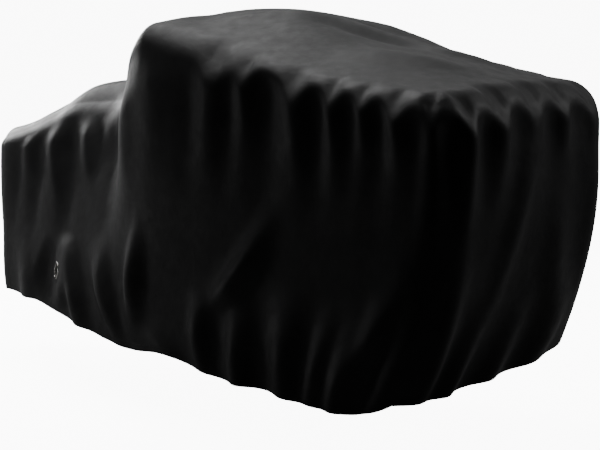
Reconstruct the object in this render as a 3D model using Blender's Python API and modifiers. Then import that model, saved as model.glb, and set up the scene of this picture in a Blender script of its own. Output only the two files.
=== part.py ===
"""Fitted cloth cover for a three-wheeled bicycle: a tall front part over the load box and its hood, a low
rear part over the saddle and the rear wheel, and one metal eyelet for a lock, low down on the near side.
Metres, +Z up, +X towards the front. The origin is under the middle of the tall part's top, where it rests."""

import bpy
import bmesh
import numpy as np
from mathutils import Matrix

# Heights here are above the ground that the vehicle stands on, and distances along are from its rear axle.
REAR_END = -0.335
FRONT_END = 1.800
LENGTH = FRONT_END - REAR_END
FRONT_WIDTH = 0.76
REAR_WIDTH = 0.26
RIM_LENGTH = 2 * LENGTH + FRONT_WIDTH + REAR_WIDTH
WEB_ROUNDER = 2.1
HOLLOW_SHARPER = 1.3
MOST_SHOULDER = 0.120
HEAD_DEPTH = 0.05
WEB_RETURN = 0.20
CROWN_SHAPE = 1.5
MOST_CORNER = 0.9
BELLY_DEPTH = 0.55
HEM_TILT = 1.6

CLOTH_THICKNESS = 0.002
HELD_ALONG = 1.00
TOP_COLUMNS = 48
TOP_ROWS = 16
WALL_DEPTHS = (0, 0.025, 0.06, 0.12, 0.20, 0.29, 0.38, 0.48, 0.58, 0.68, 0.75, 0.81, 0.87, 0.935, 1)
NARROWEST_FOLD = 0.046
TURN_STEP = 0.03
ON_EDGE = 0.9999
TINY = 0.000001

EYELET_PLACE = 11 * LENGTH / TOP_COLUMNS
EYELET_DEPTH = 0.81
EYELET_TURN = 0.35
FLAT_RADIUS = 0.066
FLAT_BLEND = 0.075
UP_STEP = 0.1

# The eyelet is turned from a hollow rivet and a washer, and clamps the cloth and the patch behind it.
EYELET_HOLE = 0.0190
EYELET_BARREL = 0.0200
EYELET_FLANGE = 0.0290
EYELET_WASHER = 0.0275
RIM_THICKNESS = 0.0008
FLANGE_CROWN = 0.0024
WASHER_CROWN = 0.0014
PATCH_RADIUS = 0.042
PATCH_THICKNESS = 0.0015
PATCH_GAP = 0.0005
GAP = 0.0003
CUTTER_DEPTH = 0.02
TURNED_STEPS = 48
CROWN_POINTS = 6

# Sections across the cover.
# along, half width at top, at belly, at hem, height of near, middle, far top edge, of near hem, far hem
SECTIONS = np.array((
    (-0.335, 0.085, 0.115, 0.120, 0.745, 0.772, 0.745, 0.226, 0.250),
    (-0.200, 0.105, 0.150, 0.175, 0.785, 0.806, 0.790, 0.240, 0.262),
    (0.000, 0.110, 0.190, 0.235, 0.860, 0.884, 0.865, 0.241, 0.262),
    (0.120, 0.110, 0.215, 0.265, 0.915, 0.956, 0.920, 0.229, 0.258),
    (0.290, 0.115, 0.250, 0.300, 0.935, 0.987, 0.940, 0.209, 0.252),
    (0.400, 0.150, 0.285, 0.325, 0.955, 1.008, 0.970, 0.198, 0.250),
    (0.500, 0.248, 0.320, 0.345, 1.045, 1.095, 1.075, 0.184, 0.248),
    (0.600, 0.330, 0.354, 0.362, 1.138, 1.184, 1.177, 0.178, 0.244),
    (0.670, 0.356, 0.369, 0.372, 1.185, 1.222, 1.209, 0.176, 0.242),
    (0.850, 0.368, 0.385, 0.385, 1.160, 1.235, 1.212, 0.190, 0.238),
    (1.000, 0.368, 0.395, 0.400, 1.124, 1.232, 1.190, 0.168, 0.235),
    (1.150, 0.368, 0.400, 0.410, 1.098, 1.203, 1.158, 0.152, 0.232),
    (1.300, 0.368, 0.402, 0.412, 1.072, 1.162, 1.124, 0.149, 0.230),
    (1.500, 0.368, 0.402, 0.412, 1.053, 1.121, 1.091, 0.136, 0.230),
    (1.650, 0.370, 0.400, 0.408, 1.042, 1.091, 1.068, 0.130, 0.232),
    (1.740, 0.374, 0.398, 0.402, 1.037, 1.071, 1.057, 0.147, 0.244),
    (1.850, 0.378, 0.397, 0.400, 1.030, 1.055, 1.050, 0.198, 0.292),
))
ALONG, TOP_HALF, BELLY_HALF, HEM_HALF, NEAR_TOP, MID_TOP, FAR_TOP, NEAR_HEM, FAR_HEM = range(9)

# Where each level ends: rear, near front corner, far front corner, and the radius of its corners.
LEVELS = {
    "top": (-0.325, 1.800, 1.846, 0.110),
    "belly": (-0.295, 1.806, 1.843, 0.110),
    "hem": (-0.238, 1.684, 1.752, 0.110),
}

# Radius of the shoulder between webs and hollows: place on the near side and the front, radius.
SHOULDERS = np.array((
    (0.000, 0.045),
    (0.250, 0.066),
    (0.600, 0.068),
    (0.900, 0.055),
    (1.100, 0.085),
    (1.300, 0.065),
    (1.500, 0.045),
    (1.900, 0.048),
    (2.250, 0.078),
    (2.700, 0.085),
    (2.895, 0.070),
))

# Folds of the wall. A place is a distance round the rim from the near rear corner, and a depth is 0 at the
# top edge and 1 at the hem. Each fold runs through three places, and stands out (or in) by its height.
# place at head, middle, foot, depth of head, of foot, height, width at head, at foot, peak, bluntness
FOLDS = np.array((
    # hollows under the top edge, from the rear corner to the far front corner
    (0.180, 0.180, 0.175, 0.05, 0.70, -0.010, 0.034, 0.036, 0.30, 2.0),
    (0.300, 0.305, 0.310, 0.05, 0.80, -0.011, 0.036, 0.040, 0.30, 2.0),
    (0.450, 0.490, 0.530, 0.05, 0.85, -0.020, 0.050, 0.055, 0.25, 2.0),
    (0.605, 0.620, 0.640, 0.05, 0.50, -0.010, 0.034, 0.040, 0.25, 2.0),
    (0.730, 0.770, 0.810, 0.05, 0.80, -0.022, 0.060, 0.060, 0.25, 2.0),
    (1.220, 1.210, 1.200, 0.05, 0.60, -0.008, 0.045, 0.050, 0.30, 2.0),
    (1.370, 1.360, 1.345, 0.05, 0.55, -0.010, 0.036, 0.045, 0.30, 2.0),
    (1.510, 1.512, 1.520, 0.00, 0.60, -0.018, 0.052, 0.065, 0.20, 2.0),
    (1.695, 1.700, 1.705, 0.00, 0.55, -0.016, 0.040, 0.055, 0.20, 2.0),
    (1.812, 1.812, 1.812, 0.00, 0.45, -0.012, 0.034, 0.045, 0.20, 2.0),
    (1.920, 1.920, 1.920, 0.00, 0.50, -0.013, 0.038, 0.050, 0.22, 2.0),
    (2.050, 2.050, 2.050, 0.01, 0.60, -0.012, 0.048, 0.050, 0.22, 2.0),
    (2.165, 2.165, 2.165, 0.01, 0.60, -0.014, 0.036, 0.036, 0.22, 2.0),
    (2.290, 2.287, 2.280, 0.01, 0.55, -0.015, 0.046, 0.040, 0.22, 2.0),
    (2.440, 2.425, 2.395, 0.01, 0.50, -0.015, 0.050, 0.045, 0.24, 2.0),
    (2.600, 2.590, 2.565, 0.01, 0.50, -0.013, 0.045, 0.050, 0.26, 2.0),
    (2.720, 2.720, 2.740, 0.01, 0.45, -0.011, 0.050, 0.045, 0.26, 2.0),
    # webs that run out from the top edge between the hollows
    (0.235, 0.235, 0.230, 0.05, 0.35, 0.011, 0.036, 0.036, 0.25, 1.9),
    (0.375, 0.410, 0.480, 0.05, 0.60, 0.018, 0.050, 0.036, 0.22, 1.9),
    (0.550, 0.600, 0.690, 0.05, 0.55, 0.020, 0.050, 0.036, 0.22, 1.9),
    (0.655, 0.660, 0.670, 0.05, 0.25, 0.008, 0.030, 0.034, 0.30, 1.9),
    (0.890, 0.900, 0.950, 0.05, 0.60, 0.024, 0.080, 0.050, 0.30, 1.9),
    (1.060, 1.040, 1.020, 0.05, 0.60, 0.014, 0.080, 0.050, 0.22, 1.9),
    (1.315, 1.285, 1.265, 0.00, 0.45, 0.014, 0.055, 0.038, 0.22, 1.9),
    (1.435, 1.430, 1.425, 0.00, 0.36, 0.010, 0.038, 0.036, 0.24, 1.9),
    (1.622, 1.628, 1.640, 0.00, 0.42, 0.017, 0.058, 0.036, 0.24, 1.9),
    (1.760, 1.762, 1.765, 0.00, 0.38, 0.016, 0.046, 0.034, 0.24, 1.9),
    (1.866, 1.866, 1.866, 0.00, 0.25, 0.009, 0.036, 0.034, 0.26, 1.9),
    (1.985, 1.987, 1.990, 0.00, 0.30, 0.012, 0.050, 0.036, 0.26, 1.9),
    (2.108, 2.110, 2.112, 0.00, 0.70, 0.014, 0.030, 0.036, 0.20, 1.9),
    (2.222, 2.220, 2.212, 0.00, 0.55, 0.018, 0.045, 0.036, 0.22, 1.9),
    (2.365, 2.360, 2.348, 0.00, 0.42, 0.018, 0.050, 0.036, 0.26, 1.9),
    (2.525, 2.430, 2.360, 0.02, 0.95, 0.020, 0.045, 0.040, 0.30, 1.9),
    (2.660, 2.660, 2.660, 0.00, 0.30, 0.010, 0.045, 0.038, 0.30, 1.9),
    (2.634, 2.650, 2.690, 0.24, 0.92, 0.020, 0.030, 0.080, 0.60, 1.9),
    (2.815, 2.810, 2.815, 0.02, 0.95, 0.012, 0.045, 0.050, 0.45, 1.9),
    # bulges of the lower wall, where the loose cloth hangs down to the hem
    (0.060, 0.075, 0.110, 0.55, 1.30, 0.013, 0.046, 0.055, 0.55, 2.1),
    (0.240, 0.290, 0.340, 0.60, 1.30, 0.020, 0.057, 0.050, 0.55, 2.1),
    (0.545, 0.640, 0.745, 0.60, 1.15, 0.034, 0.048, 0.055, 0.50, 2.1),
    (0.745, 0.820, 1.010, 0.56, 1.08, 0.032, 0.046, 0.044, 0.55, 2.1),
    (0.980, 0.990, 1.010, 0.56, 0.98, 0.036, 0.041, 0.044, 0.50, 2.1),
    (1.080, 1.170, 1.290, 0.90, 1.06, 0.018, 0.069, 0.066, 0.60, 2.1),
    (1.550, 1.478, 1.325, 0.38, 0.84, 0.036, 0.038, 0.052, 0.60, 2.0),
    (1.318, 1.335, 1.450, 0.72, 1.10, 0.031, 0.040, 0.044, 0.45, 2.1),
    (1.478, 1.520, 1.655, 0.68, 1.20, 0.041, 0.057, 0.044, 0.45, 2.1),
    (1.660, 1.705, 1.850, 0.60, 1.20, 0.045, 0.069, 0.051, 0.50, 2.1),
    (1.828, 1.832, 1.895, 0.64, 1.15, 0.036, 0.040, 0.044, 0.50, 2.1),
    (1.910, 1.925, 1.995, 0.62, 1.20, 0.041, 0.046, 0.044, 0.50, 2.1),
    (2.010, 1.985, 1.950, 0.54, 0.98, 0.031, 0.046, 0.044, 0.50, 2.1),
    (2.140, 2.110, 2.095, 0.54, 1.25, 0.038, 0.055, 0.055, 0.50, 2.1),
    (2.242, 2.205, 2.178, 0.38, 1.25, 0.031, 0.040, 0.044, 0.60, 2.1),
    (2.395, 2.310, 2.290, 0.62, 1.25, 0.031, 0.040, 0.044, 0.55, 2.1),
    (2.560, 2.500, 2.420, 0.60, 1.25, 0.025, 0.046, 0.050, 0.60, 2.1),
    (2.690, 2.690, 2.590, 0.60, 1.20, 0.031, 0.069, 0.061, 0.55, 2.1),
    # the narrow rear end
    (5.120, 5.120, 5.125, 0.00, 0.75, -0.010, 0.060, 0.070, 0.40, 2.0),
    (5.230, 5.220, 5.215, 0.25, 1.10, 0.010, 0.050, 0.060, 0.55, 1.8),
))

# The far side hangs in the near side's folds, but lower ones and set a little apart. Those that start
# this close to the front corner stay on the near side.
FAR_SPREAD = 0.985
FAR_HEIGHT = 0.8
CORNER_FOLDS = 0.06

# Troughs and ridges of the top, as soft lines: along and across of each end, height, half width.
# Each fades in and out over its end part, and towards the shoulder.
CREASE_END = 0.4
CREASE_MARGIN = 0.08
CREASES = np.array((
    (0.780, -0.250, 1.120, 0.060, 0.013, 0.050),
    (0.880, 0.100, 1.300, 0.200, -0.018, 0.040),
    (1.000, 0.220, 1.420, 0.290, 0.016, 0.035),
    (1.050, -0.060, 1.500, 0.120, -0.018, 0.045),
    (1.250, -0.200, 1.700, 0.000, 0.013, 0.050),
    (1.300, 0.080, 1.700, 0.180, 0.013, 0.035),
    (0.650, 0.050, 0.800, -0.300, -0.013, 0.050),
    (-0.250, 0.020, 0.080, -0.020, 0.013, 0.030),
    (0.080, 0.050, 0.430, 0.060, -0.013, 0.030),
))


def read(rows, column, at):
    """Smooth value of one column of a table, between its rows: it never overshoots them."""
    place = rows[:, 0]
    value = rows[:, column]
    step = np.diff(place)
    rise = np.diff(value) / step
    product = rise[:-1] * rise[1:]
    total = np.where(product > 0, rise[:-1] + rise[1:], 1)
    inner = np.where(product > 0, 2 * product / total, 0)
    slope = np.concatenate(([rise[0]], inner, [rise[-1]]))
    at = np.clip(at, place[0], place[-1])
    row = np.clip(np.searchsorted(place, at) - 1, 0, len(step) - 1)
    q = (at - place[row]) / step[row]
    start = (1 + 2 * q) * (1 - q) ** 2 * value[row] + q * (1 - q) ** 2 * step[row] * slope[row]
    end = q * q * (3 - 2 * q) * value[row + 1] - q * q * (1 - q) * step[row] * slope[row + 1]
    return start + end


def ease(q):
    """0 below 0, 1 above 1, and a soft rise between."""
    q = np.clip(q, 0, 1)
    return q * q * (3 - 2 * q)


def along_of(a):
    """Distance along the cover of the rim coordinate a, which is -1 at the rear and 1 at the front."""
    return REAR_END + (a + 1) / 2 * LENGTH


def rim_place(place):
    """Rim coordinates a and b, each -1 to 1, of a distance round the rim."""
    corners = np.cumsum((0, LENGTH, FRONT_WIDTH, LENGTH, REAR_WIDTH))
    place = np.mod(place, RIM_LENGTH)
    a = np.interp(place, corners, (-1, 1, 1, -1, -1))
    b = np.interp(place, corners, (-1, -1, 1, 1, -1))
    return a, b


def place_on_rim(a, b):
    """Distance round the rim of a point on the edge of the unit square."""
    near = (a + 1) / 2 * LENGTH
    front = LENGTH + (b + 1) / 2 * FRONT_WIDTH
    far = LENGTH + FRONT_WIDTH + (1 - a) / 2 * LENGTH
    rear = 2 * LENGTH + FRONT_WIDTH + (1 - b) / 2 * REAR_WIDTH
    return np.select((b < -ON_EDGE, a > ON_EDGE, b > ON_EDGE), (near, front, far), rear)


def plan(a, b, half, level):
    """Plan of one level, a rectangle with round corners. Also how far in from its edge each point is,
    and the rim coordinates of the edge beside it.

    b = -1 is the near side, b = 1 the far side. Inside a corner's square, u and v run from its inner
    sides to 1 at the edge, and the square is laid over a quarter disc."""
    rear, near_front, far_front, corner = LEVELS[level]
    front = near_front + (far_front - near_front) * (b + 1) / 2
    reach = (front - rear) / 2
    radius = np.minimum(corner, MOST_CORNER * half)
    u = np.clip(1 - (1 - np.abs(a)) * reach / radius, 0, 1)
    v = np.clip(1 - (1 - np.abs(b)) * half / radius, 0, 1)
    round_u, round_v = u * np.sqrt(1 - v * v / 2), v * np.sqrt(1 - u * u / 2)
    x = (rear + front) / 2 + a * reach - np.sign(a) * radius * (u - round_u)
    y = b * half - np.sign(b) * radius * (v - round_v)
    most = np.maximum(np.maximum(u, v), TINY)
    edge_a = np.where(u > 0, np.sign(a) * (1 - (1 - u / most) * radius / reach), a)
    edge_b = np.where(v > 0, np.sign(b) * (1 - (1 - v / most) * radius / half), b)
    return x, y, radius * (1 - np.hypot(round_u, round_v)), edge_a, edge_b


def top_height(along, b):
    """Height of the top at b across it, before its shoulder is rounded."""
    near, middle, far = (read(SECTIONS, column, along) for column in (NEAR_TOP, MID_TOP, FAR_TOP))
    edge = (near + far) / 2 + (far - near) / 2 * b
    return edge + (middle - (near + far) / 2) * (1 - b * b) ** CROWN_SHAPE


def all_folds():
    """The table's folds and the far side's."""
    near = FOLDS[FOLDS[:, 2] < LENGTH - CORNER_FOLDS]
    far = near.copy()
    far[:, :3] = LENGTH + FRONT_WIDTH + (LENGTH - near[:, :3]) * FAR_SPREAD
    far[:, 5] *= FAR_HEIGHT
    return np.vstack((FOLDS, far))


def round_rim(offset):
    """A distance round the rim, as the shortest way round."""
    return np.mod(offset + RIM_LENGTH / 2, RIM_LENGTH) - RIM_LENGTH / 2


def plain_radius(place):
    """Radius of the shoulder before its webs and hollows: the far side has the near side's."""
    place = np.mod(place, RIM_LENGTH)
    far = place > LENGTH + FRONT_WIDTH
    return read(SHOULDERS, 1, np.where(far, 2 * LENGTH + FRONT_WIDTH - place, place))


def shoulder_radius(place):
    """The shoulder is round where a web runs over it, and sharp over a hollow."""
    web = np.zeros(np.shape(place))
    for head, _, _, start, _, height, wide, _, _, bluntness in all_folds():
        if start < HEAD_DEPTH:
            near = np.abs(round_rim(place - head)) / np.maximum(wide, NARROWEST_FOLD)
            web = web + np.sign(height) * np.exp(-near ** bluntness)
    web = np.clip(web, -1, 1)
    radius = plain_radius(place) * np.where(web > 0, WEB_ROUNDER, HOLLOW_SHARPER) ** web
    return np.minimum(radius, MOST_SHOULDER)


def arc(inset, radius):
    """Fall of a shoulder at a distance in from where it stands at 45 degrees."""
    q = np.clip(radius * np.sqrt(0.5) - inset, 0, None)
    return radius - np.sqrt(radius ** 2 - q ** 2)


def plain_wall(a, b, depth):
    """The wall without its folds, from its shoulder down to its hem."""
    along = along_of(a)
    points = [plan(a, b, read(SECTIONS, half, along), level)
              for half, level in ((TOP_HALF, "top"), (BELLY_HALF, "belly"), (HEM_HALF, "hem"))]
    w_top = (depth - BELLY_DEPTH) * (depth - 1) / BELLY_DEPTH
    w_belly = depth * (depth - 1) / (BELLY_DEPTH * (BELLY_DEPTH - 1))
    w_hem = depth * (depth - BELLY_DEPTH) / (1 - BELLY_DEPTH)
    x, y = (w_top * points[0][k] + w_belly * points[1][k] + w_hem * points[2][k] for k in (0, 1))
    edge = top_height(points[0][0], b) - arc(0.0, plain_radius(place_on_rim(a, b)))
    near_hem = read(SECTIONS, NEAR_HEM, along)
    hem = near_hem + (read(SECTIONS, FAR_HEM, along) - near_hem) * ((b + 1) / 2) ** HEM_TILT
    return x, y, edge + (hem - edge) * depth


def outward(place):
    """Level direction that points out of the wall at a distance round the rim."""
    x0, y0, _ = plain_wall(*rim_place(place - TURN_STEP), BELLY_DEPTH)
    x1, y1, _ = plain_wall(*rim_place(place + TURN_STEP), BELLY_DEPTH)
    size = np.hypot(x1 - x0, y1 - y0)
    return (y1 - y0) / size, (x0 - x1) / size


def fold_height(place, depth):
    """How far the folds carry the wall out, added up."""
    total = np.zeros(np.broadcast(place, depth).shape)
    for head, middle, foot, start, stop, height, head_wide, foot_wide, peak, bluntness in all_folds():
        q = np.clip((depth - start) / (stop - start), 0, 1)
        line = head + (4 * middle - 3 * head - foot) * q + 2 * (head + foot - 2 * middle) * q * q
        off = round_rim(place - line)
        plain = head_wide + (foot_wide - head_wide) * q
        width = np.maximum(plain, NARROWEST_FOLD)
        swell = np.where(q < peak, ease(q / peak), ease((1 - q) / (1 - peak)))
        total = total + height * swell * plain / width * np.exp(-np.abs(off / width) ** bluntness)
    return total


def folded_wall(place, depth):
    """The folded wall at a distance round the rim and a depth below the top edge."""
    a, b = rim_place(place)
    x, y, z = plain_wall(a, b, depth)
    radius = shoulder_radius(place)
    lower = arc(0.0, radius) - arc(0.0, plain_radius(place))
    fall = plain_wall(a, b, 0)[2] - z
    z = z - lower * ease(1 - fall / WEB_RETURN)
    out = arc(0.0, radius) - arc(fall, radius) - lower * ease(fall / WEB_RETURN) + fold_height(place, depth)
    nx, ny = outward(place)
    return np.stack(np.broadcast_arrays(x + nx * out, y + ny * out, z), -1)


def eyelet_frame():
    """Centre of the eyelet on the cloth's outer face, and its directions to the side, up and out."""
    centre = folded_wall(EYELET_PLACE, EYELET_DEPTH)
    up = centre - folded_wall(EYELET_PLACE, EYELET_DEPTH + UP_STEP)
    up = up / np.linalg.norm(up)
    nx, ny = outward(EYELET_PLACE)
    turn_x, turn_y = np.cos(EYELET_TURN), np.sin(EYELET_TURN)
    out = np.array((nx * turn_x + ny * turn_y, ny * turn_x - nx * turn_y, 0.0))
    out = out - up * out.dot(up)
    out = out / np.linalg.norm(out)
    return centre, np.cross(up, out), up, out


def wall(place, depth):
    """The folded wall, laid flat round the eyelet."""
    points = folded_wall(place, depth)
    centre, _, _, out = eyelet_frame()
    offset = points - centre
    lift = offset @ out
    reach = np.linalg.norm(offset - lift[..., None] * out, axis=-1)
    near = np.linalg.norm(offset, axis=-1) < 2 * (FLAT_RADIUS + FLAT_BLEND)
    flat = ease(1 - (reach - FLAT_RADIUS) / FLAT_BLEND) * near
    return points - (flat * lift)[..., None] * out


def crease_height(x, y):
    """How far the creases lift or lower the top, added up."""
    total = np.zeros(np.broadcast(x, y).shape)
    for x0, y0, x1, y1, height, width in CREASES:
        length = np.hypot(x1 - x0, y1 - y0)
        ux, uy = (x1 - x0) / length, (y1 - y0) / length
        run = (x - x0) * ux + (y - y0) * uy
        off = (y - y0) * ux - (x - x0) * uy
        swell = ease(run / length / CREASE_END) * ease((length - run) / length / CREASE_END)
        total = total + height * swell * np.exp(-(off / width) ** 2)
    return total


def top(a, b):
    """The top at the rim coordinates a and b, with its rounded shoulder and its creases."""
    along = along_of(a)
    half = read(SECTIONS, TOP_HALF, along)
    x, y, inset, edge_a, edge_b = plan(a, b, half, "top")
    radius = shoulder_radius(place_on_rim(edge_a, edge_b))
    z = top_height(x, b) - arc(inset, radius) + crease_height(x, y) * ease(inset / CREASE_MARGIN)
    return np.stack(np.broadcast_arrays(x, y, z), -1)


def origin():
    """The point under the tall part's top that the cover hangs from."""
    a = 2 * (HELD_ALONG - REAR_END) / LENGTH - 1
    return top(a, 0.0) - (0, 0, CLOTH_THICKNESS)


def fabric(name, colour, roughness):
    material = bpy.data.materials.new(name)
    material.use_nodes = True
    shader = material.node_tree.nodes["Principled BSDF"]
    shader.inputs["Base Color"].default_value = (*colour, 1)
    shader.inputs["Roughness"].default_value = roughness
    return material


def metal(name, colour, roughness):
    material = fabric(name, colour, roughness)
    material.node_tree.nodes["Principled BSDF"].inputs["Metallic"].default_value = 1
    return material


def cover_cloth(parts, material, cutter):
    """A flat grid is drawn down at its edge into a square cap, and the cap is laid to the cover's shape."""
    cap = bmesh.new()
    bmesh.ops.create_grid(cap, x_segments=TOP_COLUMNS, y_segments=TOP_ROWS, size=1)
    rim = [edge for edge in cap.edges if edge.is_boundary]
    for row in range(1, len(WALL_DEPTHS)):
        drawn = bmesh.ops.extrude_edge_only(cap, edges=rim)["geom"]
        for vertex in drawn:
            if isinstance(vertex, bmesh.types.BMVert):
                vertex.co.z = -row
        rim = [edge for edge in drawn if isinstance(edge, bmesh.types.BMEdge)]
    a, b, row = np.array([vertex.co for vertex in cap.verts]).T
    depth = np.array(WALL_DEPTHS)[np.rint(-row).astype(int)]
    on_wall = (depth > 0)[:, None]
    points = np.where(on_wall, wall(place_on_rim(a, b), depth), top(a, b)) - origin()
    for vertex, point in zip(cap.verts, points):
        vertex.co = point
    bmesh.ops.recalc_face_normals(cap, faces=cap.faces)
    mesh = bpy.data.meshes.new("cover_cloth")
    cap.to_mesh(mesh)
    cap.free()
    mesh.shade_smooth()
    cover = bpy.data.objects.new("cover_cloth", mesh)
    mesh.materials.append(material)
    parts.objects.link(cover)
    sheet = cover.modifiers.new("sheet", "SOLIDIFY")
    sheet.thickness = CLOTH_THICKNESS
    sheet.offset = -1
    sheet.use_even_offset = True
    hole = cover.modifiers.new("eyelet hole", "BOOLEAN")
    hole.operation = "DIFFERENCE"
    hole.object = cutter


def eyelet_matrix():
    """Matrix of the eyelet: its origin is on the cloth's outer face, with Z out of the cloth."""
    centre, side, up, out = eyelet_frame()
    matrix = Matrix(np.column_stack((side, up, out))).to_4x4()
    matrix.translation = centre - origin()
    return matrix


def hole_cutter(cutters):
    bpy.ops.mesh.primitive_cylinder_add(vertices=TURNED_STEPS, radius=EYELET_BARREL + GAP,
                                        depth=CUTTER_DEPTH)
    cutter = bpy.context.object
    cutter.name = "eyelet_hole_cutter"
    for collection in list(cutter.users_collection):
        collection.objects.unlink(cutter)
    cutters.objects.link(cutter)
    cutter.matrix_world = eyelet_matrix()
    cutter.hide_render = True
    cutter.display_type = "WIRE"
    return cutter


def turned(parts, name, profile, material):
    """A closed profile of radius and height, turned round the eyelet's axis."""
    mesh = bpy.data.meshes.new(name)
    count = len(profile)
    mesh.from_pydata([(radius, 0, height) for radius, height in profile],
                     [(k, (k + 1) % count) for k in range(count)], [])
    piece = bpy.data.objects.new(name, mesh)
    mesh.materials.append(material)
    parts.objects.link(piece)
    piece.matrix_world = eyelet_matrix()
    screw = piece.modifiers.new("turn", "SCREW")
    screw.steps = TURNED_STEPS
    screw.render_steps = TURNED_STEPS
    screw.use_merge_vertices = True
    screw.merge_threshold = 0.00001
    screw.use_smooth_shade = True


def eyelet_patch(parts, material):
    """The disc of doubled cloth behind the eyelet, on the cover's inner face."""
    front = -CLOTH_THICKNESS - PATCH_GAP
    back = front - PATCH_THICKNESS
    bore = EYELET_BARREL + GAP
    turned(parts, "eyelet_patch",
           [(bore, front), (PATCH_RADIUS, front), (PATCH_RADIUS, back), (bore, back)], material)


def crown(inner, outer, low, high):
    """Rounded face of a flange, from its hole to its rim: low at both, high between them."""
    angles = np.linspace(0, np.pi, CROWN_POINTS)
    radii = inner + (outer - inner) * (1 - np.cos(angles)) / 2
    return list(zip(radii, low + (high - low) * np.sin(angles)))


def eyelet_ring(parts, material):
    """The metal eyelet: a domed flange outside, a barrel through the cloth and a washer inside."""
    under = GAP
    grip = -CLOTH_THICKNESS - PATCH_GAP - PATCH_THICKNESS - GAP
    outside = crown(EYELET_HOLE, EYELET_FLANGE, under + RIM_THICKNESS, FLANGE_CROWN)
    inside = crown(EYELET_HOLE, EYELET_WASHER, grip - RIM_THICKNESS, grip - WASHER_CROWN)
    barrel = [(EYELET_FLANGE, under), (EYELET_BARREL, under), (EYELET_BARREL, grip), (EYELET_WASHER, grip)]
    turned(parts, "eyelet_ring", outside + barrel + inside[::-1], material)


def main():
    for thing in list(bpy.data.objects):
        bpy.data.objects.remove(thing)
    parts = bpy.data.collections.new("bicycle_cover")
    cutters = bpy.data.collections.new("cutters")
    for collection in (parts, cutters):
        bpy.context.scene.collection.children.link(collection)
    cloth = fabric("black coated cloth", (0.022, 0.022, 0.023), 0.6)
    doubled = fabric("doubled cloth", (0.026, 0.026, 0.027), 0.7)
    nickel = metal("nickel plate", (0.72, 0.71, 0.68), 0.25)
    cover_cloth(parts, cloth, hole_cutter(cutters))
    eyelet_patch(parts, doubled)
    eyelet_ring(parts, nickel)


main()
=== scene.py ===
"""The cover as it looks: a fine sheet of coated cloth in all its folds, its hem stitching, the patch
behind the lock eyelet and the rolled metal eyelet itself. Metres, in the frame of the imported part."""

import bpy
import bmesh
import numpy as np
from mathutils import Matrix, Vector


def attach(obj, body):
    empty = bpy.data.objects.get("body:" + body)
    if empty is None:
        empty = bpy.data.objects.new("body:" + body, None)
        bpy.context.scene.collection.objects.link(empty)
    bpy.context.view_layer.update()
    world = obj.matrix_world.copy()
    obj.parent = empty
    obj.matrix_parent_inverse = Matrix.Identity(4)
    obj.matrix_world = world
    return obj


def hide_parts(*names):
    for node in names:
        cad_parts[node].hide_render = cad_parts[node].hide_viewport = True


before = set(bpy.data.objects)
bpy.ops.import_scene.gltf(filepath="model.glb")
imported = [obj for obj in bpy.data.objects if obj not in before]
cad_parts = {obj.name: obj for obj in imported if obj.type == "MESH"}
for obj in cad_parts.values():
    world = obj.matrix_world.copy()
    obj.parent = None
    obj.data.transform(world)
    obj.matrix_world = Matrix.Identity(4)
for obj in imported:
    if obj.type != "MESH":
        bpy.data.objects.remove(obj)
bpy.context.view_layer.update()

# Heights here are above the ground that the vehicle stands on, and distances along are from its rear axle.
REAR_END = -0.335
FRONT_END = 1.800
LENGTH = FRONT_END - REAR_END
FRONT_WIDTH = 0.76
REAR_WIDTH = 0.26
RIM_LENGTH = 2 * LENGTH + FRONT_WIDTH + REAR_WIDTH

# The shoulder is this many times rounder over a web and sharper over a hollow, up to a largest radius.
# Only the folds that start above HEAD_DEPTH shape it, and a wall gets its own line back within WEB_RETURN.
WEB_ROUNDER = 2.1
HOLLOW_SHARPER = 1.3
MOST_SHOULDER = 0.120
HEAD_DEPTH = 0.05
WEB_RETURN = 0.20

# How peaked the top's crown is, the most of the half width that a round corner takes, how far down the
# wall's belly is, and how late the hem rises on its way from the near side to the far side.
CROWN_SHAPE = 1.5
MOST_CORNER = 0.9
BELLY_DEPTH = 0.55
HEM_TILT = 1.6

# The origin is this far along, under the top. A fold's half width is never under the narrowest.
CLOTH_THICKNESS = 0.002
HELD_ALONG = 1.00
NARROWEST_FOLD = 0.038

# Half the step over which a wall's direction is taken, where the rim starts, and the least divisor.
TURN_STEP = 0.03
ON_EDGE = 0.9999
TINY = 0.000001
DIAGONAL = np.sqrt(0.5)

# The eyelet sits on one of the near side's columns and faces a little to the rear. The cloth is flat
# round it and blends into its folds further out. UP_STEP is the depth over which its upright is taken.
EYELET_COLUMN = 11
EYELET_COLUMNS = 48
EYELET_PLACE = EYELET_COLUMN * LENGTH / EYELET_COLUMNS
EYELET_DEPTH = 0.81
EYELET_TURN = 0.35
FLAT_RADIUS = 0.066
FLAT_BLEND = 0.075
UP_STEP = 0.1

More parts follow.
